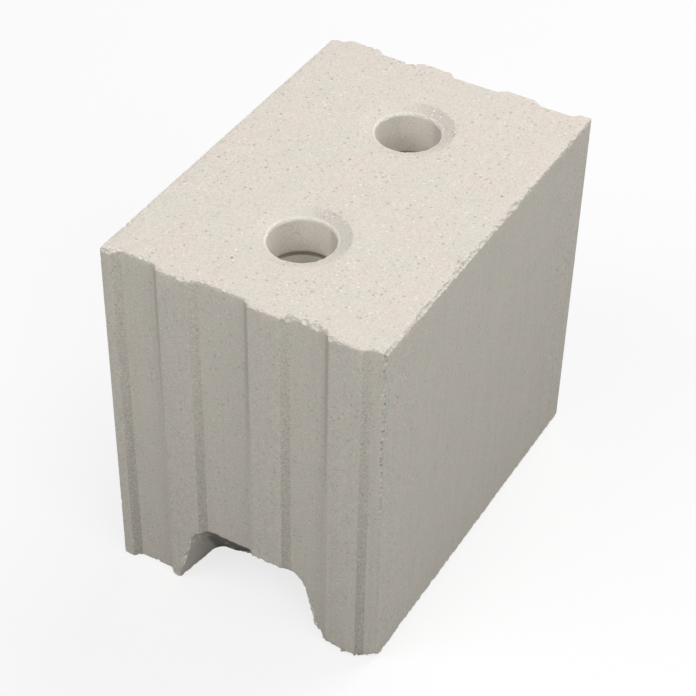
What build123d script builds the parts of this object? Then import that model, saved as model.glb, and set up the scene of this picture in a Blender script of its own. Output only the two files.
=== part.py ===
"""Perforated calcium silicate block: toothed ends, two necked holes and a grip pocket under each end."""
import math
import os

from build123d import *

# Whole block, mm. The laying length is the step from one block to the next in a row.
LAYING_LENGTH = 248.0
WIDTH = 175.0
HEIGHT = 238.0
ARRIS = 0.8                     # small bevel round the top and bottom beds

# Toothed ends: upright tongues and grooves, the same at both ends after half a turn about Z.
TOOTH_DEPTH = 4.0               # crown of a tongue to floor of a groove
TOOTH_PITCH = 24.7              # flank to flank, at half depth
EDGE_STRIP = 9.5                # from a smooth side to the first flank, at half depth
FLANK_RUN = 4.2                 # width of a sloped flank
FLANK_CLEARANCE = 0.4           # each flank stands back by this into its tongue
TOOTH_ROUND = 1.5               # rounding along the upright edges

# Holes: a shallow dish, a neck, then a wider bore down to the bottom bed.
HOLE_SPACING = 120.0
DISH_RADIUS = 28.0
DISH_DEPTH = 3.5
NECK_RADIUS = 19.5
NECK_END_NEAR = 26.0            # below the top bed, hole at -X
NECK_END_FAR = 30.0             # below the top bed, hole at +X
RIM_ROUND = 0.8                 # where the dish turns down into the neck
BORE_RADIUS = 22.5

# Grip pockets: hand holds drawn into both ends from the bottom bed.
POCKET_HALF_WIDTH = 50.4        # at the crowns and the bottom bed
POCKET_DEPTH = 36.0             # from the crowns, at the bottom bed
POCKET_HEIGHT = 48.0
POCKET_LIP = 5.0                # level roof behind the crowns, before it slopes down to the back
POCKET_DRAFT = 15.5             # degrees, each side wall, upwards
POCKET_NARROWING = 9.0          # degrees, each side wall, towards the back
POCKET_ARCH = 20.0              # rounding of the mouth's upper corners
POCKET_ROUND = 8.0              # where the sloping roof meets the side walls and the lip
PLUG_REACH = 40.0               # how far the pocket's cutting plug stands out past the crowns

CROWN_X = (LAYING_LENGTH + TOOTH_DEPTH) / 2
FLOOR_X = CROWN_X - TOOTH_DEPTH


def flank_centres():
    """Y of every flank of the -X end, from +Y to -Y, before the clearance."""
    first = WIDTH / 2 - EDGE_STRIP
    steps = [first - k * TOOTH_PITCH for k in range(4)]
    return steps[:3] + [-y for y in reversed(steps)]


def end_outline():
    """Plan points of the -X end from +Y to -Y, starting on the standing strip at the +Y side."""
    points = [(-CROWN_X, WIDTH / 2)]
    x_now, x_next = -CROWN_X, -FLOOR_X
    for index, y in enumerate(flank_centres()):
        side = 1 if index % 2 == 0 else -1
        middle = y + side * FLANK_CLEARANCE
        points.append((x_now, middle + FLANK_RUN / 2))
        points.append((x_next, middle - FLANK_RUN / 2))
        x_now, x_next = x_next, x_now
    points.append((x_now, -WIDTH / 2))
    return points


def plan_face():
    """Whole plan of the block with rounded upright edges."""
    one_end = end_outline()
    other_end = [(-x, -y) for x, y in one_end]
    outline = Face(Wire.make_polygon([Vector(x, y) for x, y in one_end + other_end], close=True))
    return outline.fillet_2d(TOOTH_ROUND, outline.vertices())


def hole_tool(neck_end):
    """Turned tool for one hole, standing on the origin and reaching past both beds."""
    shoulder = BORE_RADIUS - NECK_RADIUS
    rim = HEIGHT - DISH_DEPTH
    past = 2.0
    slope = (DISH_RADIUS - NECK_RADIUS) / DISH_DEPTH
    profile = Polyline(
        (0, -past),
        (BORE_RADIUS, -past),
        (BORE_RADIUS, HEIGHT - neck_end - shoulder),
        (NECK_RADIUS, HEIGHT - neck_end),
        (NECK_RADIUS, rim),
        (DISH_RADIUS + slope * past, HEIGHT + past),
        (0, HEIGHT + past),
        close=True,
    )
    section = make_face(profile)
    rim_corner = section.vertices().sort_by_distance((NECK_RADIUS, rim))[0]
    section = fillet(rim_corner, RIM_ROUND)
    return revolve(Plane.XZ * section, Axis.Z)


def arch_face(x):
    """Upright section of the grip pocket across the block at the given x, before the roof slopes down."""
    half = POCKET_HALF_WIDTH - (x + CROWN_X) * math.tan(math.radians(POCKET_NARROWING))
    lean = POCKET_HEIGHT * math.tan(math.radians(POCKET_DRAFT))
    one_side = [(half, 0), (half - lean, POCKET_HEIGHT)]
    other_side = [(-y, z) for y, z in reversed(one_side)]
    arch = Face(Wire.make_polygon([Vector(x, y, z) for y, z in one_side + other_side], close=True))
    return arch.fillet_2d(POCKET_ARCH, arch.vertices().group_by(Axis.Z)[-1])


def pocket_tool():
    """Grip pocket of the -X end: an arched mouth, and a roof that slopes down to the bed at the back."""
    outside_x = -CROWN_X - PLUG_REACH
    lip_x = -CROWN_X + POCKET_LIP
    back_x = -CROWN_X + POCKET_DEPTH
    tunnel = loft([arch_face(outside_x), arch_face(back_x)], ruled=True)
    under_roof = Polyline(
        (outside_x, 0),
        (back_x, 0),
        (lip_x, POCKET_HEIGHT),
        (outside_x, POCKET_HEIGHT),
        close=True,
    )
    hollow = tunnel & extrude(Plane.XZ * make_face(under_roof), amount=WIDTH / 2, both=True)
    slope = hollow.faces().sort_by(Axis.X)[-1]
    return fillet(slope.edges().group_by(Axis.Z)[1:], POCKET_ROUND)


def make_block():
    """The whole block, standing on its bottom bed with the origin under its middle."""
    block = extrude(plan_face(), amount=HEIGHT)
    beds = block.edges().group_by(Axis.Z)
    block = chamfer(beds[0] + beds[-1], ARRIS)
    block -= Pos(-HOLE_SPACING / 2, 0, 0) * hole_tool(NECK_END_NEAR)
    block -= Pos(HOLE_SPACING / 2, 0, 0) * hole_tool(NECK_END_FAR)
    pocket = pocket_tool()
    block -= pocket
    block -= Rot(0, 0, 180) * pocket
    return block


block = make_block()
block.label = "block"

os.makedirs("parts", exist_ok=True)
export_step(block, "parts/block.step")
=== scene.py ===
"""Perforated calcium silicate block: worn arrises, a sandy finish and a plain studio stage."""
import math
import random
from typing import NamedTuple

import bmesh
import bpy
import numpy as np
from bpy.props import FloatProperty, FloatVectorProperty, IntProperty, PointerProperty
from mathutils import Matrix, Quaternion, Vector, kdtree, noise
from mathutils.bvhtree import BVHTree


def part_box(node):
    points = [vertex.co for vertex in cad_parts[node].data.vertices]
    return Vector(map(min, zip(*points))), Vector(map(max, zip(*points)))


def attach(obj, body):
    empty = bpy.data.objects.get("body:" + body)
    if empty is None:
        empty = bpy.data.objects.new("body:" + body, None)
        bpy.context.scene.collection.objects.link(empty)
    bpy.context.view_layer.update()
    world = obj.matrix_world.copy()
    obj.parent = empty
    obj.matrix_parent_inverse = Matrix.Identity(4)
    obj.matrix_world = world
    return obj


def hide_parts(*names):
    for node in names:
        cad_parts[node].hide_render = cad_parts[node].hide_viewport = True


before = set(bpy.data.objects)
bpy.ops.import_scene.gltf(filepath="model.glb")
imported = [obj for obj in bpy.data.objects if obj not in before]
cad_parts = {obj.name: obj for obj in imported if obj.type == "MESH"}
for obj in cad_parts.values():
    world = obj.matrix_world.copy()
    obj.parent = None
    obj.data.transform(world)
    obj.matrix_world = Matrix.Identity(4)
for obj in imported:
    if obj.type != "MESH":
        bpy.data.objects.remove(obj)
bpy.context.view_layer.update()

bl_info = {
    "name": "Perforated calcium silicate block",
    "version": (1, 0, 0),
    "blender": (4, 5, 0),
    "location": "3D View > Sidebar > Block",
    "description": "Dresses the packed block with worn arrises, a sandy finish and a studio stage",
    "category": "Object",
}

MM = 0.001
NODE = "block"
BODY = "root"
WORN = "worn"

# The block's box in millimetres. The end at -X is the front end, and the side at -Y is the right one.
FRONT, RIGHT, BOTTOM = (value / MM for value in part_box(NODE)[0])
BACK, LEFT, TOP = (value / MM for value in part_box(NODE)[1])

# Forms of the solid that the wear and the finish follow, in millimetres.
TOOTH_DEPTH = 4.0
GROOVE_FLOOR = FRONT + TOOTH_DEPTH
FRONT_RIGHT_FOOT = (GROOVE_FLOOR, RIGHT, BOTTOM)
FOOT_END = -112.0               # how far back the breaks of the front feet reach
HOLE_X = 60.0
DISH_RADIUS = 28.0
DISH_FOOT = TOP - 4.0
NECK_RADIUS = 19.5
NECK_FOOT = TOP - 26.0
BORE_RADIUS = 22.5
POCKET_LIP = 48.0               # upper edge of the mouth
POCKET_TOP = 52.0               # just above the mouth
POCKET_MOUTH = 50.5             # half the width of the mouth
POCKET_REACH = 60.0             # from the middle to just past the mouth
POCKET_BACK = 85.0              # from the middle to just short of the pocket

# Each pocket's back is deeper in its middle than the solid's, and its side walls stand nearer to upright.
DEEPER_BACK = 4.5
BACK_CUTS = (-33, -29, -25, -21, -16, -8, 0, 8, 16, 21, 25, 29, 33)
BACK_CURVE = (20, 36)
LEFT_WALL_SHIFT = 4.0
LEFT_WALL_FADE = (28, 47)
RIGHT_WALL_SHIFT = 2.0
RIGHT_WALL_FADE = (18, 32)
WALL_ROOT = (18, 34)
ROOF_LEAN = -0.3

# The chips down the front right upright arris start at this height.
CHIPS_FROM = 110.0


class Crumble(NamedTuple):
    """How an arris sheds crumbs, in millimetres."""

    spacing: float
    radius: tuple
    depth: tuple


class Knock(NamedTuple):
    """A stretch that took more wear than the rest of its arris, in millimetres."""

    start: tuple
    end: tuple
    outward: tuple
    crumble: Crumble
    follow: bool


class Arris(NamedTuple):
    """A convex edge of the solid, in millimetres, with the way that it points and its turn in radians."""

    start: Vector
    end: Vector
    outward: Vector
    turn: float


# Everyday wear of each kind of arris: fine crumbs first, then the odd larger one.
CRUMBLES = {
    "top": (Crumble(1.0, (0.6, 1.3), (0.20, 0.65)), Crumble(9.0, (1.0, 2.4), (0.4, 1.1))),
    "bottom": (Crumble(1.0, (0.6, 1.3), (0.20, 0.65)), Crumble(9.0, (1.0, 2.6), (0.4, 1.1))),
    "corner": (Crumble(2.4, (0.5, 1.0), (0.10, 0.35)), Crumble(24.0, (1.0, 2.0), (0.25, 0.6))),
    "tooth": (Crumble(10.0, (0.5, 1.0), (0.10, 0.30)),),
    "rim": (Crumble(0.9, (0.6, 1.2), (0.15, 0.50)),),
    "pocket": (Crumble(1.0, (0.7, 1.6), (0.30, 0.80)), Crumble(9.0, (1.4, 2.6), (0.4, 0.9))),
}

# Places that were knocked harder. A break is cut from the whole block, and crumbs then follow its face.
RAGGED = Crumble(1.0, (0.6, 1.3), (0.30, 0.90))
FRAYED = Crumble(1.7, (0.7, 1.7), (0.40, 1.20))
NIBBLED = Crumble(1.4, (0.8, 1.9), (0.40, 1.20))
CHIPPED = Crumble(8.0, (1.4, 3.0), (0.6, 1.4))
GNAWED = Crumble(2.2, (1.2, 2.6), (0.8, 2.0))
DOTTED = Crumble(2.4, (0.8, 1.9), (0.3, 0.8))
FLAKED = Crumble(2.2, (1.8, 3.8), (0.6, 1.7))
BROKEN_FOOT = Crumble(4.0, (12, 24), (1.6, 2.4))
BROKEN_CORNER = Crumble(3.0, (10, 16), (2.0, 3.2))
ROUNDED_CORNER = Crumble(1.0, (40, 44), (4.4, 4.6))
ROUNDED_FRONT = Crumble(1.0, (40, 44), (3.4, 3.6))
ROUNDED_SIDE = Crumble(1.0, (40, 44), (3.0, 3.2))
KNOCKS = (
    # right top arris, ragged over its front half
    Knock((GROOVE_FLOOR, RIGHT, TOP), (30, RIGHT, TOP), (0, -1, 1), NIBBLED, True),
    Knock((GROOVE_FLOOR, RIGHT, TOP), (30, RIGHT, TOP), (0, -1, 1), CHIPPED, True),
    # top arris of the groove before the last tongue
    Knock((GROOVE_FLOOR, -29, TOP), (GROOVE_FLOOR, -47, TOP), (-1, 0, 1), FLAKED, False),
    Knock((GROOVE_FLOOR, -29, TOP), (GROOVE_FLOOR, -47, TOP), (-1, 0, 0.7), RAGGED, True),
    # top of the left standing strip
    Knock((FRONT, 78, TOP), (FRONT, LEFT, TOP), (-1, 0.3, 1), FLAKED, False),
    Knock((FRONT, 78, TOP), (FRONT, LEFT, TOP), (-1, 0.3, 0.6), RAGGED, True),
    # front right upright arris, a line of small chips
    Knock((GROOVE_FLOOR, RIGHT, CHIPS_FROM), (GROOVE_FLOOR, RIGHT, TOP - 2), (-1, -1, 0.1), DOTTED, True),
    # foot of the last tongue, broken back and ragged
    Knock((FRONT, -50, BOTTOM), (FRONT, -80, BOTTOM), (-0.75, 0, -0.66), BROKEN_FOOT, False),
    Knock((FRONT, -50, BOTTOM), (FRONT, -80, BOTTOM), (-0.6, 0, -0.8), GNAWED, True),
    Knock((FRONT, -52, BOTTOM), (FRONT, -80, BOTTOM), (-0.8, 0, -0.6), NIBBLED, True),
    # corner of the same foot beside the grip pocket
    Knock((FRONT, -50, BOTTOM), (FOOT_END, -47, BOTTOM), (-0.2, 0.7, -0.7), BROKEN_CORNER, False),
    Knock((FRONT, -50, BOTTOM), (FOOT_END, -47, BOTTOM), (-0.3, 0.7, -0.6), RAGGED, True),
    # front right corner of the bottom bed, rounded off
    Knock(FRONT_RIGHT_FOOT, FRONT_RIGHT_FOOT, (-1, -1, -1), ROUNDED_CORNER, False),
    Knock(FRONT_RIGHT_FOOT, FRONT_RIGHT_FOOT, (-2, -1, -1.3), ROUNDED_FRONT, False),
    Knock(FRONT_RIGHT_FOOT, FRONT_RIGHT_FOOT, (-1, -2, -1.3), ROUNDED_SIDE, False),
    Knock((GROOVE_FLOOR, -78, BOTTOM), (FOOT_END, RIGHT, BOTTOM), (-1, -1, -1), RAGGED, True),
    # right arris of the bottom bed
    Knock((FOOT_END, RIGHT, BOTTOM), (BACK, RIGHT, BOTTOM), (0, -1, -1), NIBBLED, True),
    Knock((FOOT_END, RIGHT, BOTTOM), (BACK, RIGHT, BOTTOM), (0, -1, -0.7), GNAWED, True),
    # left and upper edge of the grip pocket's mouth
    Knock((FRONT, 43, 12), (FRONT, 35, 40), (-0.8, -0.5, -0.3), RAGGED, True),
    Knock((FRONT, 33, 45), (GROOVE_FLOOR, 12, 48), (-0.8, 0, -0.6), RAGGED, True),
    # right edge of the grip pocket's mouth
    Knock((GROOVE_FLOOR, -49, 0), (GROOVE_FLOOR, -43, 28), (-1, 1, 0), NIBBLED, True),
    Knock((GROOVE_FLOOR, -49, 0), (GROOVE_FLOOR, -45, 18), (-0.4, 1, 0), GNAWED, True),
    # left foot of the grip pocket's mouth
    Knock((FRONT + 2, 49, 0), (FRONT + 2, 48, 4), (-1, -0.6, -0.8), FLAKED, False),
)

# How arrises are found and sorted.
MERGE_DISTANCE = 0.001 * MM
MIN_TURN = math.radians(8)
RIM_MARGIN = 1.0
BED_MARGIN = 2.0
SIDE_MARGIN = 3.0
UNDERCUT = -0.1

# How hollows are pressed: lengths in millimetres, noise in waves per millimetre.
SHIFT_MARGIN = 2.0
RAGGED_WAVES = 0.9
RAGGED_LIMIT = 5.0
SMALLEST_HOLLOW = 0.2
MOSTLY_SMALL = 2.2
HOLLOW_LEAN = 0.35
FRAYED_FROM = 0.5
GRITTY_FROM = 0.08
GRIT_WAVES = 1.7

# The floor lies just below the block, and as seen this share of it is shaded.
FLOOR_HALF_WIDTH = 5.0
FLOOR_GAP = 0.2
SHADED_SHARE = 0.25
WHITE = (1.0, 1.0, 1.0, 1.0)


class BlockWear(bpy.types.PropertyGroup):
    """How the block's edges are worn."""

    seed: IntProperty(
        name="Seed", description="Start of the random draws that place the crumbs", default=11)
    face_size: FloatProperty(
        name="Face size", description="Size of the even faces that the wear is pressed into",
        default=0.65 * MM, unit="LENGTH", precision=5)
    wear: FloatProperty(
        name="Wear", description="Depth of all crumbs and knocks, as a share of the depth seen",
        default=1.0, subtype="FACTOR")
    raggedness: FloatProperty(
        name="Raggedness", description="How uneven a broken face is, as a share of the crumb's size",
        default=0.16, subtype="FACTOR")
    grit: FloatProperty(
        name="Grit", description="Height of the sand grains that stand out of a broken face",
        default=0.16 * MM, unit="LENGTH", precision=5)
    triangles: IntProperty(
        name="Triangles", description="Most triangles that the finished block may have", default=185_000)
    crease: FloatProperty(
        name="Crease", description="Faces that meet at more than this angle are shaded apart",
        default=math.radians(38), subtype="ANGLE")


class BlockFinish(bpy.types.PropertyGroup):
    """Colours and grain of the pressed sand and lime, and the strength of the painted shade and shadows on
    it.
    """

    stone: FloatVectorProperty(
        name="Stone", description="Pressed face of the block", subtype="COLOR", size=4,
        default=(0.752, 0.706, 0.626, 1.0))
    warm: FloatVectorProperty(
        name="Warm stone", description="Warmer clouds in the pressed face", subtype="COLOR", size=4,
        default=(0.775, 0.698, 0.630, 1.0))
    fresh: FloatVectorProperty(
        name="Fresh break", description="Crumbled arris, cleaner than the pressed face",
        subtype="COLOR", size=4, default=(0.790, 0.752, 0.682, 1.0))
    # Dark grain colour, also used for the painted shadows in the chips and under each neck.
    dark_grain_and_shadow: FloatVectorProperty(
        name="Dark grain and shadow", description="Dark sand grains and open pores", subtype="COLOR", size=4,
        default=(0.270, 0.240, 0.205, 1.0))
    # Pale grain colour, also used for the painted light at the holes and the painted highlight on each
    # pocket mouth.
    pale_grain_and_light: FloatVectorProperty(
        name="Pale grain and light", description="Pale sand grains", subtype="COLOR", size=4,
        default=(0.960, 0.935, 0.870, 1.0))
    grain_size: FloatProperty(
        name="Grain size", description="Size of a sand grain, mm", default=1.1)
    roughness: FloatProperty(
        name="Roughness", description="Matte, dry surface", default=0.95, subtype="FACTOR")
    # Painted shade: upright faces darker towards the foot.
    base_shade: FloatProperty(
        name="Base soil", description="Darkening of upright faces at the foot",
        default=0.09, subtype="FACTOR")
    # Painted shade on the teeth's right flanks, darker towards the foot.
    right_flank_shade: FloatProperty(
        name="Right flank soil", description="Darkening of the teeth's right flanks at the foot",
        default=0.20, subtype="FACTOR")
    # Painted shade on the teeth's left flanks, darker near the top.
    left_flank_shade: FloatProperty(
        name="Left flank soil", description="Darkening of the teeth's left flanks near the top",
        default=0.22, subtype="FACTOR")
    # Painted shade on the side of each dish that faces the front left.
    dish_shade_level: FloatProperty(
        name="Dish soil", description="Darkening of the side of each dish that faces the front left",
        default=0.10, subtype="FACTOR")
    # Painted shade on the roof of each grip pocket.
    pocket_shade: FloatProperty(
        name="Pocket soil", description="Darkening of the roof of each grip pocket",
        default=0.62, subtype="FACTOR")
    # Painted shadows: dark dots in the chips of the front right arris, and a dark line under each neck.
    line_shadow: FloatProperty(
        name="Line soil", description="Darkening of the chipped line and of the line under each neck",
        default=0.60, subtype="FACTOR")


class BlockStage(bpy.types.PropertyGroup):
    """Camera, light and floor."""

    camera_place: FloatVectorProperty(
        name="Camera place", description="Where the camera stands", subtype="TRANSLATION",
        default=(-0.7676, -0.4276, 0.8742))
    camera_aim: FloatVectorProperty(
        name="Camera aim", description="Point in the middle of the picture", subtype="TRANSLATION",
        default=(-0.0090, -0.0016, 0.1200))
    camera_roll: FloatProperty(
        name="Camera roll", description="Turn of the camera about its line of sight",
        default=math.radians(1.267), subtype="ANGLE")
    lens: FloatProperty(
        name="Lens", description="Focal length on a sensor 36 mm wide",
        default=99.34, subtype="DISTANCE_CAMERA")
    back_from: FloatVectorProperty(
        name="Back light direction", description="Direction of the soft light behind the block",
        subtype="DIRECTION", default=(0.60, -0.22, 0.77))
    back_level: FloatProperty(
        name="Back light level", description="Light on a level face from the back light, 1 is full",
        default=0.485)
    left_from: FloatVectorProperty(
        name="Left light direction", description="Direction of the soft light to the left of the camera",
        subtype="DIRECTION", default=(-0.62, 0.36, 0.70))
    left_level: FloatProperty(
        name="Left light level", description="Light on a level face from the left light, 1 is full",
        default=0.315)
    right_from: FloatVectorProperty(
        name="Right light direction", description="Direction of the soft light to the right of the camera",
        subtype="DIRECTION", default=(-0.36, -0.70, 0.62))
    right_level: FloatProperty(
        name="Right light level", description="Light on a level face from the right light, 1 is full",
        default=0.227)
    lamp_distance: FloatProperty(
        name="Lamp distance", description="From the top of the block to each soft light",
        default=2.4, unit="LENGTH")
    lamp_size: FloatProperty(
        name="Lamp size", description="Side of each square soft light", default=1.7, unit="LENGTH")
    sky_level: FloatProperty(
        name="Sky level", description="Light on a level face from all round, 1 is full", default=0.11)
    sky_colour: FloatVectorProperty(
        name="Sky colour", description="Colour of the light from all round", subtype="COLOR", size=4,
        default=(0.965, 1.0, 1.02, 1.0))
    floor: FloatVectorProperty(
        name="Floor", description="Floor as it lights the block", subtype="COLOR", size=4,
        default=(0.345, 0.372, 0.362, 1.0))


class Signal:
    """A value in a node tree. Arithmetic on it adds Math nodes."""

    def __init__(self, tree, socket=None):
        self.tree = tree
        self.socket = socket

    def add(self, kind, settings=None, inputs=None, output=0):
        """Adds a node: first its settings, then the values or links of its sockets."""
        made = self.tree.nodes.new(kind)
        for name, value in (settings or {}).items():
            setattr(made, name, value)
        for key, value in (inputs or {}).items():
            if isinstance(value, Signal):
                self.tree.links.new(value.socket, made.inputs[key])
            else:
                made.inputs[key].default_value = value
        return Signal(self.tree, made.outputs[output] if made.outputs else None)

    def math(self, operation, first, second=0.0):
        return self.add("ShaderNodeMath", {"operation": operation}, {0: first, 1: second})

    def __add__(self, other):
        return self.math("ADD", self, other)

    def __radd__(self, other):
        return self.math("ADD", other, self)

    def __sub__(self, other):
        return self.math("SUBTRACT", self, other)

    def __rsub__(self, other):
        return self.math("SUBTRACT", other, self)

    def __mul__(self, other):
        return self.math("MULTIPLY", self, other)

    def __rmul__(self, other):
        return self.math("MULTIPLY", other, self)

    def __truediv__(self, other):
        return self.math("DIVIDE", self, other)

    def __abs__(self):
        return self.math("ABSOLUTE", self)

    def parts(self):
        """The three parts of this vector."""
        return [self.add("ShaderNodeSeparateXYZ", {}, {0: self}, axis) for axis in range(3)]

    def hypot(self, other):
        """Distance made of this value and another at right angles to it."""
        return self.math("SQRT", self * self + other * other)

    def mixed(self, first, second):
        """Colour between two colours, with this value as the share of the second."""
        return self.add(
            "ShaderNodeMix", {"data_type": "RGBA", "clamp_factor": True}, {0: self, 6: first, 7: second}, 2)

    def scaled(self, factor):
        """This colour or vector times a value."""
        return self.add("ShaderNodeVectorMath", {"operation": "SCALE"}, {0: self, "Scale": factor})

    def stretched(self, sizes):
        """This vector with each of its axes divided by a size."""
        return self.add("ShaderNodeVectorMath", {"operation": "DIVIDE"}, {0: self, 1: sizes})

    def ramp(self, low, high):
        """0 where this value is at low, 1 at high, with soft ends."""
        settings = {"interpolation_type": "SMOOTHSTEP", "clamp": True}
        return self.add("ShaderNodeMapRange", settings, {"Value": self, "From Min": low, "From Max": high})

    def cloud(self, size, detail=2.0, roughness=0.5):
        """Noise around zero over this place, with features of the given size."""
        inputs = {"Vector": self, "Scale": 1 / size, "Detail": detail, "Roughness": roughness}
        return self.add("ShaderNodeTexNoise", {}, inputs) - 0.5

    def specks(self, spacing, radius, share):
        """1 on round grains of uneven size: one to a cell of the spacing, in a share of the cells."""
        inputs = {"Vector": self, "Scale": 1 / spacing, "Randomness": 1.0}
        cell = self.add("ShaderNodeTexVoronoi", {"feature": "F1"}, inputs)
        distance = cell * spacing
        colour = Signal(self.tree, cell.socket.node.outputs["Color"])
        draw = colour.add("ShaderNodeSeparateColor", {}, {"Color": colour})
        other_draw = Signal(self.tree, draw.socket.node.outputs["Green"])
        size = radius * (0.35 + other_draw * 0.65)
        grain = (distance / size).ramp(1.0, 0.45)
        return grain * draw.math("LESS_THAN", draw, share)


def new_tree(material):
    """The material's empty node tree, as the first Signal."""
    material.use_nodes = True
    material.node_tree.nodes.clear()
    return Signal(material.node_tree)


class Spot:
    """A point of the block's surface: its place in millimetres, the way it faces and how broken it is."""

    def __init__(self, start):
        self.place = start.add("ShaderNodeTexCoord", output=3).scaled(1 / MM)
        self.along, self.across, self.up = self.place.parts()
        normal = start.add("ShaderNodeTexCoord", output=1)
        self.faces_along, self.faces_across, self.faces_up = normal.parts()
        self.upright = 1 - abs(self.faces_up)
        self.level = self.upright.ramp(0.2, 0.05)
        self.height = self.up / TOP
        worn = start.add("ShaderNodeAttribute", {"attribute_name": WORN}, output=2)
        self.broken = worn.ramp(0.10, 0.40)


def tooth_masks(spot):
    """The right and the left flanks of the teeth, where painted shade goes, and the chipped line down the
    front right arris, where painted chip shadows go.
    """
    between_corners = abs(spot.across).ramp(LEFT - 3, LEFT - 5)
    skew = spot.faces_along * spot.faces_across
    right_flank = skew.ramp(0.3, 0.46) * between_corners
    left_flank = skew.ramp(-0.3, -0.46) * between_corners
    from_arris = (spot.along - GROOVE_FLOOR).hypot(spot.across - RIGHT)
    chipped_line = from_arris.ramp(2.4, 1.2) * spot.up.ramp(CHIPS_FROM, CHIPS_FROM + 40)
    return right_flank, left_flank, chipped_line


def pocket_masks(spot):
    """The roof of each grip pocket, which gets painted shade, and the broken edge of its mouth, which gets
    a painted highlight.
    """
    near_middle = abs(spot.across).ramp(POCKET_MOUTH - 4, POCKET_MOUTH - 8)
    in_pocket = near_middle * spot.up.ramp(POCKET_TOP + 2, POCKET_TOP)
    roof = in_pocket * spot.faces_up.ramp(-0.35, -0.55) * spot.up.ramp(BOTTOM + 0.5, BOTTOM + 2.5)
    # Painted highlight along the broken edge of the mouth.
    mouth_highlight = spot.broken * in_pocket * abs(spot.along).ramp(BACK - 11, BACK - 8)
    return roof, mouth_highlight


def hole_masks(spot):
    """Painted light on the lip, the neck wall and the bore wall below each neck, the painted shadow line
    under each neck, and the painted shade on one side of each dish.
    """
    from_hole = (abs(spot.along) - HOLE_X).hypot(spot.across)
    near_top = spot.up.ramp(DISH_FOOT - 2, DISH_FOOT)
    # Painted light: the lip, the neck wall and the bore wall just below each neck are made paler.
    lip = from_hole.ramp(NECK_RADIUS + 1.8, NECK_RADIUS + 1.0) * near_top
    neck_wall = from_hole.ramp(NECK_RADIUS + 0.6, NECK_RADIUS + 0.2) * spot.up.ramp(TOP - 60, TOP - 30)
    outside_neck = from_hole.ramp(NECK_RADIUS + 1.6, BORE_RADIUS - 0.4)
    bore_wall = outside_neck * from_hole.ramp(BORE_RADIUS + 1, BORE_RADIUS + 0.5)
    below_neck = bore_wall * spot.up.ramp(NECK_FOOT - 4.6, NECK_FOOT - 5.6)
    # Painted shadow: a dark line just under the foot of each neck.
    neck_shadow = bore_wall * (1 - below_neck) * spot.up.ramp(NECK_FOOT + 2, NECK_FOOT)
    in_dish = from_hole.ramp(DISH_RADIUS + 0.5, DISH_RADIUS - 1.0) * near_top
    # Painted shade on the side of each dish that faces the front left.
    dish_shade = in_dish * (spot.faces_across * 0.6 - spot.faces_along * 0.8).ramp(0.10, 0.35)
    painted_light = lip * 0.55 + neck_wall * 0.25 + below_neck * 0.90
    return painted_light, neck_shadow, dish_shade


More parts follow.
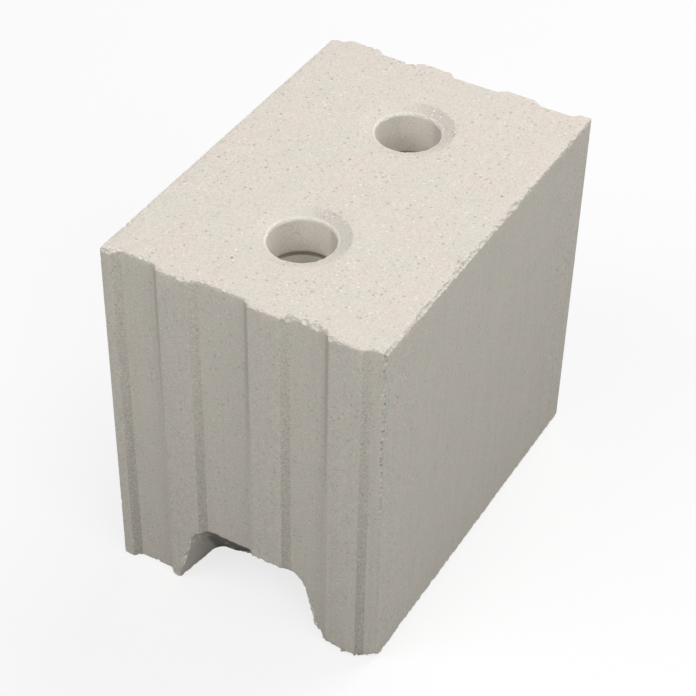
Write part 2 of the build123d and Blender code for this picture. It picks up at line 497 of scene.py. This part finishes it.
def sand_lime(finish):
    """Pressed sand and lime: fine grain, pores, faint clouds, drag marks on upright faces, clean breaks,
    with painted shade, shadows and light at the teeth, holes and pockets.
    """
    material = bpy.data.materials.new("sand_lime")
    start = new_tree(material)
    spot = Spot(start)
    place = spot.place
    right_flank, left_flank, chipped_line = tooth_masks(spot)
    pocket_roof, mouth_highlight = pocket_masks(spot)
    painted_light, neck_shadow, dish_shade = hole_masks(spot)
    smooth_side = abs(spot.faces_across).ramp(0.9, 0.98) * abs(spot.along).ramp(BACK - 8, BACK - 60)
    coarse = 1 - smooth_side * 0.5

    wobble = start.add("ShaderNodeTexNoise", {}, {"Vector": place, "Scale": 1.2, "Detail": 1.0}, 1)
    shaken = start.add(
        "ShaderNodeVectorMath", {"operation": "MULTIPLY_ADD"}, {0: wobble, 1: (0.7, 0.7, 0.7), 2: place})
    grain = place.cloud(finish.grain_size, 2.0, 0.6)
    clouds = place.cloud(14.0, 2.0)
    tint = place.cloud(22.0, 3.0)
    drag = place.stretched((2.2, 2.2, 70.0)).cloud(1.0, 3.0) * spot.upright.ramp(0.7, 0.95)
    crowd = place.cloud(16.0, 1.0).ramp(-0.25, 0.15)
    pores = shaken.specks(12.0, 1.4, 0.42) * (1 - smooth_side * 0.6)
    # Dark dots down the chipped arris are painted shadows of its chips.
    chip_shadows = shaken.specks(2.6, 1.3, 0.75) * chipped_line
    dark = shaken.specks(3.6, 1.35, 0.8) * (0.35 + crowd * 0.65) * coarse
    pale = shaken.specks(3.0, 1.05, 0.6) * (0.25 + crowd * 0.75) * coarse

    # Painted shade, taken off the tone: upright faces towards the foot, the teeth's flanks and one side of
    # each dish.
    shade = (1 - spot.height) * (right_flank * finish.right_flank_shade + spot.upright * finish.base_shade)
    shade = shade + left_flank * spot.height.ramp(0.35, 0.90) * finish.left_flank_shade
    shade = shade + dish_shade * finish.dish_shade_level
    tone = 1 + grain * (0.5 + right_flank * 0.3) * coarse + clouds * 0.06 + drag * 0.10 - shade
    pale_grain_and_light = tuple(finish.pale_grain_and_light)
    dark_grain_and_shadow = tuple(finish.dark_grain_and_shadow)
    colour = tint.ramp(-0.2, 0.2).mixed(tuple(finish.stone), tuple(finish.warm)).scaled(tone)
    colour = (pale * (0.45 + spot.level * 0.30)).mixed(colour, pale_grain_and_light)
    colour = (dark * (0.27 + spot.level * 0.14)).mixed(colour, dark_grain_and_shadow)
    colour = (pores * 0.7).mixed(colour, dark_grain_and_shadow)
    # The pocket roof is darkened here with painted shade.
    colour = spot.broken.mixed(colour, tuple(finish.fresh)).scaled(1 - pocket_roof * finish.pocket_shade)
    # Painted light at the holes, and a painted highlight on the broken edge of each pocket mouth.
    colour = (painted_light + mouth_highlight * 0.60).mixed(colour, pale_grain_and_light)
    # Painted shadows in the chips and under each neck.
    colour = ((chip_shadows + neck_shadow) * finish.line_shadow).mixed(colour, dark_grain_and_shadow)

    height = grain * 0.35 + place.cloud(0.5, 1.0) * 0.12 - pores * 0.5 - dark * 0.12 + pale * 0.06
    bump = start.add("ShaderNodeBump", {}, {"Strength": 0.6, "Distance": MM, "Height": height})
    shader = start.add("ShaderNodeBsdfPrincipled", {}, {
        "Base Color": colour,
        "Roughness": finish.roughness,
        "Specular IOR Level": 0.2,
        "Normal": bump,
    })
    start.add("ShaderNodeOutputMaterial", {}, {"Surface": shader})
    return material


def with_modifier(mesh, kind, settings):
    """A new mesh: the given one after one modifier. The given one is used up."""
    holder = bpy.data.objects.new("holder", mesh)
    bpy.context.scene.collection.objects.link(holder)
    step = holder.modifiers.new("step", kind)
    for name, value in settings.items():
        setattr(step, name, value)
    graph = bpy.context.evaluated_depsgraph_get()
    made = bpy.data.meshes.new_from_object(holder.evaluated_get(graph))
    bpy.data.objects.remove(holder)
    bpy.data.meshes.remove(mesh)
    return made


def merged_solid():
    """The solid's mesh as one closed bmesh."""
    solid = bmesh.new()
    solid.from_mesh(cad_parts[NODE].data)
    bmesh.ops.remove_doubles(solid, verts=solid.verts, dist=MERGE_DISTANCE)
    return solid


def fade(value, start, end):
    """1 up to the start, 0 from the end on, with soft ends."""
    share = min(max((value - start) / (end - start), 0.0), 1.0)
    return 1 - share * share * (3 - 2 * share)


def pocket_roofs(solid):
    """The faces of the sloping roof of each pocket."""
    found = []
    for face in solid.faces:
        x, y, z = face.calc_center_median() / MM
        inside = abs(x) > POCKET_BACK and abs(y) < POCKET_MOUTH and BOTTOM < z < POCKET_LIP
        if inside and face.normal.z < ROOF_LEAN and face.normal.x * x > 0:
            found.append(face)
    return found


def curve_pocket_backs(solid):
    """Bends the line where each roof meets the bottom bed, deepest in the middle."""
    for y in BACK_CUTS:
        roofs = pocket_roofs(solid)
        edges = {edge for face in roofs for edge in face.edges}
        verts = {vert for face in roofs for vert in face.verts}
        bmesh.ops.bisect_plane(
            solid, geom=[*verts, *edges, *roofs], dist=MERGE_DISTANCE,
            plane_co=(0, y * MM, 0), plane_no=(0, 1, 0))
    for vert in {vert for face in pocket_roofs(solid) for vert in face.verts}:
        x, y, z = vert.co / MM
        shift = DEEPER_BACK * max(1 - z / POCKET_LIP, 0) * fade(abs(y), *BACK_CURVE)
        vert.co.x -= math.copysign(shift * MM, x)
    solid.normal_update()


def draw_in_pockets(solid):
    """Stands the pockets' side walls nearer to upright: the left one of each end more than the right."""
    for vert in solid.verts:
        x, y, z = vert.co / MM
        if abs(x) < POCKET_BACK or abs(y) > POCKET_MOUTH or z > POCKET_TOP:
            continue
        if y * x < 0:
            shift = LEFT_WALL_SHIFT * fade(z, *LEFT_WALL_FADE)
        else:
            shift = RIGHT_WALL_SHIFT * fade(z, *RIGHT_WALL_FADE)
        vert.co.y -= math.copysign(shift * MM, y) * (1 - fade(abs(y), *WALL_ROOT))
    solid.normal_update()


def convex_edges(solid):
    """Every arris of the solid, with rounded ones as several narrow turns."""
    found = []
    for edge in solid.edges:
        turn = edge.calc_face_angle_signed(0.0)
        if turn < MIN_TURN:
            continue
        outward = edge.link_faces[0].normal + edge.link_faces[1].normal
        ends = [vert.co / MM for vert in edge.verts]
        found.append(Arris(ends[0], ends[1], outward.normalized(), turn))
    return found


def kind_of(arris):
    """Which everyday wear an arris gets, by its place on the block."""
    middle = (arris.start + arris.end) / 2
    from_hole = math.hypot(abs(middle.x) - HOLE_X, middle.y)
    if from_hole < DISH_RADIUS + RIM_MARGIN and middle.z > BOTTOM + BED_MARGIN:
        return "rim"
    if middle.z > TOP - BED_MARGIN:
        return "top"
    if middle.z < BOTTOM + BED_MARGIN:
        return "bottom"
    if middle.z < POCKET_TOP and abs(middle.y) < POCKET_REACH and arris.outward.z < UNDERCUT:
        return "pocket"
    if abs(middle.y) > LEFT - SIDE_MARGIN:
        return "corner"
    return "tooth"


class Chisel:
    """Presses rough hollows into a cloud of points, in millimetres."""

    def __init__(self, points, normals, raggedness, seed):
        self.points = points
        self.normals = normals
        self.raggedness = raggedness
        self.draw = random.Random(seed)
        self.tree = kdtree.KDTree(len(points))
        for index, point in enumerate(points):
            self.tree.insert(point, index)
        self.tree.balance()

    def scoop(self, place, outward, radius, depth):
        """Takes away what lies inside a rough ball that reaches the given depth below the place."""
        centre = np.array(place) + np.array(outward) * (radius - depth)
        reach = radius * (1 + self.raggedness) + SHIFT_MARGIN
        found = np.array([index for _, index, _ in self.tree.find_range(centre, reach)])
        if not len(found):
            return
        chosen = self.points[found]
        away = chosen - centre
        distance = np.linalg.norm(away, axis=1)
        uneven = np.array([noise.noise(Vector(point) * RAGGED_WAVES) for point in chosen])
        unevenness = uneven * self.raggedness * min(radius, RAGGED_LIMIT)
        surface = np.maximum(radius + unevenness, SMALLEST_HOLLOW)
        push = away * (np.maximum(surface / np.maximum(distance, 1e-6), 1.0) - 1.0)[:, None]
        rise = np.maximum(np.sum(push * self.normals[found], axis=1), 0.0)
        self.points[found] = chosen + push - rise[:, None] * self.normals[found]

    def crumble(self, start, end, outward, crumble, share, follow):
        """Scatters hollows along a line, most of them small. They can follow the surface as worn so far."""
        length = (end - start).length
        wanted = max(length, crumble.spacing if length == 0 else 0) * share / crumble.spacing
        for _ in range(int(wanted + self.draw.random())):
            place = start.lerp(end, self.draw.random())
            if follow:
                place = self.points[self.tree.find(place)[1]]
            size = self.draw.random() ** MOSTLY_SMALL
            radius = crumble.radius[0] + (crumble.radius[1] - crumble.radius[0]) * size
            depth = crumble.depth[0] + (crumble.depth[1] - crumble.depth[0]) * size
            lean = Vector([self.draw.uniform(-HOLLOW_LEAN, HOLLOW_LEAN) for _ in range(3)])
            self.scoop(place, (outward + lean).normalized(), radius, depth)


def deepen(crumble, wear):
    """The same crumbling with its depth scaled."""
    return crumble._replace(depth=tuple(value * wear for value in crumble.depth))


def read_vectors(values, name, count):
    """Coordinates or normals of a mesh as rows of three."""
    flat = np.empty(count * 3)
    values.foreach_get(name, flat)
    return flat.reshape(-1, 3)


def wear_down(mesh, arrises, wear):
    """Presses the wear of every arris and the named knocks into an evenly faced mesh."""
    count = len(mesh.vertices)
    whole = read_vectors(mesh.vertices, "co", count) / MM
    normals = read_vectors(mesh.vertex_normals, "vector", count)
    chisel = Chisel(whole.copy(), normals, wear.raggedness, wear.seed)
    for knock in KNOCKS:
        if not knock.follow:
            strike(chisel, knock, wear.wear)
    fray(chisel, whole, wear)
    for arris in arrises:
        for crumble in CRUMBLES[kind_of(arris)]:
            share = arris.turn / (math.pi / 2)
            chisel.crumble(arris.start, arris.end, arris.outward, deepen(crumble, wear.wear), share, True)
    for knock in KNOCKS:
        if knock.follow:
            strike(chisel, knock, wear.wear)
    roughen(chisel, whole, wear.grit / MM)
    mesh.vertices.foreach_set("co", (chisel.points * MM).ravel())
    mesh.update()


def fray(chisel, whole, wear):
    """Takes crumbs all over the faces of the breaks made so far."""
    shift = chisel.points - whole
    depth = np.linalg.norm(shift, axis=1)
    broken = np.nonzero(depth > FRAYED_FROM)[0]
    wanted = len(broken) * (wear.face_size / MM / FRAYED.spacing) ** 2
    for _ in range(int(wanted)):
        index = chisel.draw.choice(broken)
        place = Vector(chisel.points[index])
        outward = Vector(-shift[index] / depth[index])
        chisel.crumble(place, place, outward, deepen(FRAYED, wear.wear), 1.0, False)


def strike(chisel, knock, wear):
    """Presses one knock."""
    outward = Vector(knock.outward).normalized()
    chisel.crumble(
        Vector(knock.start), Vector(knock.end), outward, deepen(knock.crumble, wear), 1.0, knock.follow)


def roughen(chisel, whole, grit):
    """Lets sand grains stand out of the broken faces."""
    shift = chisel.points - whole
    depth = np.linalg.norm(shift, axis=1)
    broken = np.nonzero(depth > GRITTY_FROM)[0]
    for index in broken:
        lift = noise.noise(Vector(chisel.points[index]) * GRIT_WAVES) * grit
        chisel.points[index] -= shift[index] / depth[index] * min(max(lift, -grit), depth[index])


def mark_wear(mesh, solid):
    """Stores at each vertex how far it lies below the unworn solid, in millimetres."""
    tree = BVHTree.FromBMesh(solid)
    depths = [tree.find_nearest(vert.co)[3] / MM for vert in mesh.vertices]
    layer = mesh.attributes.new(WORN, "FLOAT", "POINT")
    layer.data.foreach_set("value", depths)


class BLOCK_OT_worn_block(bpy.types.Operator):
    """Make the block with its worn arrises and sandy finish, in place of the plain solid"""

    bl_idname = "block.worn_block"
    bl_label = "Worn block"

    def execute(self, context):
        wear = context.scene.block_wear
        solid = merged_solid()
        curve_pocket_backs(solid)
        draw_in_pockets(solid)
        mesh = bpy.data.meshes.new("worn_block")
        solid.to_mesh(mesh)
        even_faces = {"mode": "VOXEL", "voxel_size": wear.face_size, "adaptivity": 0.0}
        mesh = with_modifier(mesh, "REMESH", even_faces)
        wear_down(mesh, convex_edges(solid), wear)
        triangles = sum(len(face.vertices) - 2 for face in mesh.polygons)
        share = min(1.0, wear.triangles / triangles)
        mesh = with_modifier(mesh, "DECIMATE", {"decimate_type": "COLLAPSE", "ratio": share})
        mark_wear(mesh, solid)
        solid.free()
        mesh.name = "worn_block"
        mesh.shade_smooth()
        mesh.set_sharp_from_angle(angle=wear.crease)
        mesh.materials.clear()
        mesh.materials.append(sand_lime(context.scene.block_finish))
        piece = bpy.data.objects.new("worn_block", mesh)
        context.scene.collection.objects.link(piece)
        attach(piece, BODY)
        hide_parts(NODE)
        return {"FINISHED"}


def seen_directly(start):
    """1 for the rays that show the stage itself, 0 for those that light the block."""
    path = start.add("ShaderNodeLightPath")
    rays = [Signal(start.tree, path.socket.node.outputs[name]) for name in
            ("Is Camera Ray", "Is Glossy Ray", "Is Transmission Ray")]
    return rays[0].math("MAXIMUM", rays[0], rays[1].math("MAXIMUM", rays[1], rays[2]))


def make_floor(stage):
    """A wide pale floor that looks white outside the block's soft shadow."""
    shape = bmesh.new()
    bmesh.ops.create_grid(shape, x_segments=1, y_segments=1, size=FLOOR_HALF_WIDTH)
    bmesh.ops.translate(shape, verts=shape.verts, vec=(0, 0, (BOTTOM - FLOOR_GAP) * MM))
    mesh = bpy.data.meshes.new("floor")
    shape.to_mesh(mesh)
    shape.free()
    material = bpy.data.materials.new("pale_floor")
    start = new_tree(material)
    plain = start.add("ShaderNodeBsdfDiffuse", {}, {"Color": tuple(stage.floor)})
    white = start.add("ShaderNodeBsdfDiffuse", {}, {"Color": WHITE})
    glow = start.add("ShaderNodeEmission", {}, {"Color": WHITE, "Strength": 1.0})
    shown = start.add("ShaderNodeMixShader", {}, {0: SHADED_SHARE, 1: glow, 2: white})
    surface = start.add("ShaderNodeMixShader", {}, {0: seen_directly(start), 1: plain, 2: shown})
    start.add("ShaderNodeOutputMaterial", {}, {"Surface": surface})
    mesh.materials.append(material)
    floor = bpy.data.objects.new("floor", mesh)
    bpy.context.scene.collection.objects.link(floor)


def make_sky(stage):
    """Even light from all round, white where it is seen."""
    world = bpy.data.worlds.new("studio")
    bpy.context.scene.world = world
    start = new_tree(world)
    light = start.add(
        "ShaderNodeBackground", {}, {"Color": tuple(stage.sky_colour), "Strength": stage.sky_level})
    white = start.add("ShaderNodeBackground", {}, {"Color": WHITE, "Strength": 1.0})
    surface = start.add("ShaderNodeMixShader", {}, {0: seen_directly(start), 1: light, 2: white})
    start.add("ShaderNodeOutputWorld", {}, {"Surface": surface})


def make_soft_light(name, direction, level, stage):
    """A square soft light that gives a level face on top of the block the stated light."""
    lamp = bpy.data.lights.new(name, "AREA")
    lamp.shape = "SQUARE"
    lamp.size = stage.lamp_size
    towards = Vector(direction).normalized()
    lamp.energy = level * (math.pi * stage.lamp_distance) ** 2 / towards.z
    light = bpy.data.objects.new(name, lamp)
    light.location = towards * stage.lamp_distance + Vector((0, 0, TOP * MM))
    light.rotation_euler = towards.to_track_quat("Z", "Y").to_euler()
    bpy.context.scene.collection.objects.link(light)


def make_camera(stage):
    """The camera at the photograph's place, aim and roll."""
    lens = bpy.data.cameras.new("camera")
    lens.sensor_width = 36.0
    lens.lens = stage.lens
    camera = bpy.data.objects.new("camera", lens)
    sight = Vector(stage.camera_aim) - Vector(stage.camera_place)
    camera.location = stage.camera_place
    turn = sight.to_track_quat("-Z", "Y") @ Quaternion((0, 0, 1), stage.camera_roll)
    camera.rotation_euler = turn.to_euler()
    bpy.context.scene.collection.objects.link(camera)
    bpy.context.scene.camera = camera


class BLOCK_OT_studio_stage(bpy.types.Operator):
    """Make the pale floor, the soft light and the camera"""

    bl_idname = "block.studio_stage"
    bl_label = "Studio stage"

    def execute(self, context):
        stage = context.scene.block_stage
        make_floor(stage)
        make_sky(stage)
        make_soft_light("back_light", stage.back_from, stage.back_level, stage)
        make_soft_light("left_light", stage.left_from, stage.left_level, stage)
        make_soft_light("right_light", stage.right_from, stage.right_level, stage)
        make_camera(stage)
        context.scene.view_settings.view_transform = "Standard"
        return {"FINISHED"}


class BLOCK_PT_sidebar(bpy.types.Panel):
    """Sizes, colours and steps of the block"""

    bl_idname = "BLOCK_PT_sidebar"
    bl_label = "Calcium silicate block"
    bl_space_type = "VIEW_3D"
    bl_region_type = "UI"
    bl_category = "Block"

    def draw(self, context):
        scene = context.scene
        for step, groups in ((BLOCK_OT_worn_block, (scene.block_wear, scene.block_finish)),
                             (BLOCK_OT_studio_stage, (scene.block_stage,))):
            box = self.layout.box()
            box.operator(step.bl_idname)
            for group in groups:
                for name in group.__annotations__:
                    box.prop(group, name)


GROUPS = {"block_wear": BlockWear, "block_finish": BlockFinish, "block_stage": BlockStage}
CLASSES = (*GROUPS.values(), BLOCK_OT_worn_block, BLOCK_OT_studio_stage, BLOCK_PT_sidebar)


def register():
    """Adds the classes, and the settings to the scene."""
    for cls in CLASSES:
        bpy.utils.register_class(cls)
    for name, group in GROUPS.items():
        setattr(bpy.types.Scene, name, PointerProperty(type=group))


def unregister():
    """Takes the settings and the classes away again."""
    for name in GROUPS:
        delattr(bpy.types.Scene, name)
    for cls in reversed(CLASSES):
        bpy.utils.unregister_class(cls)


def main():
    """Makes the block and its stage."""
    register()
    bpy.ops.block.worn_block()
    bpy.ops.block.studio_stage()


if __name__ == "__main__":
    main()
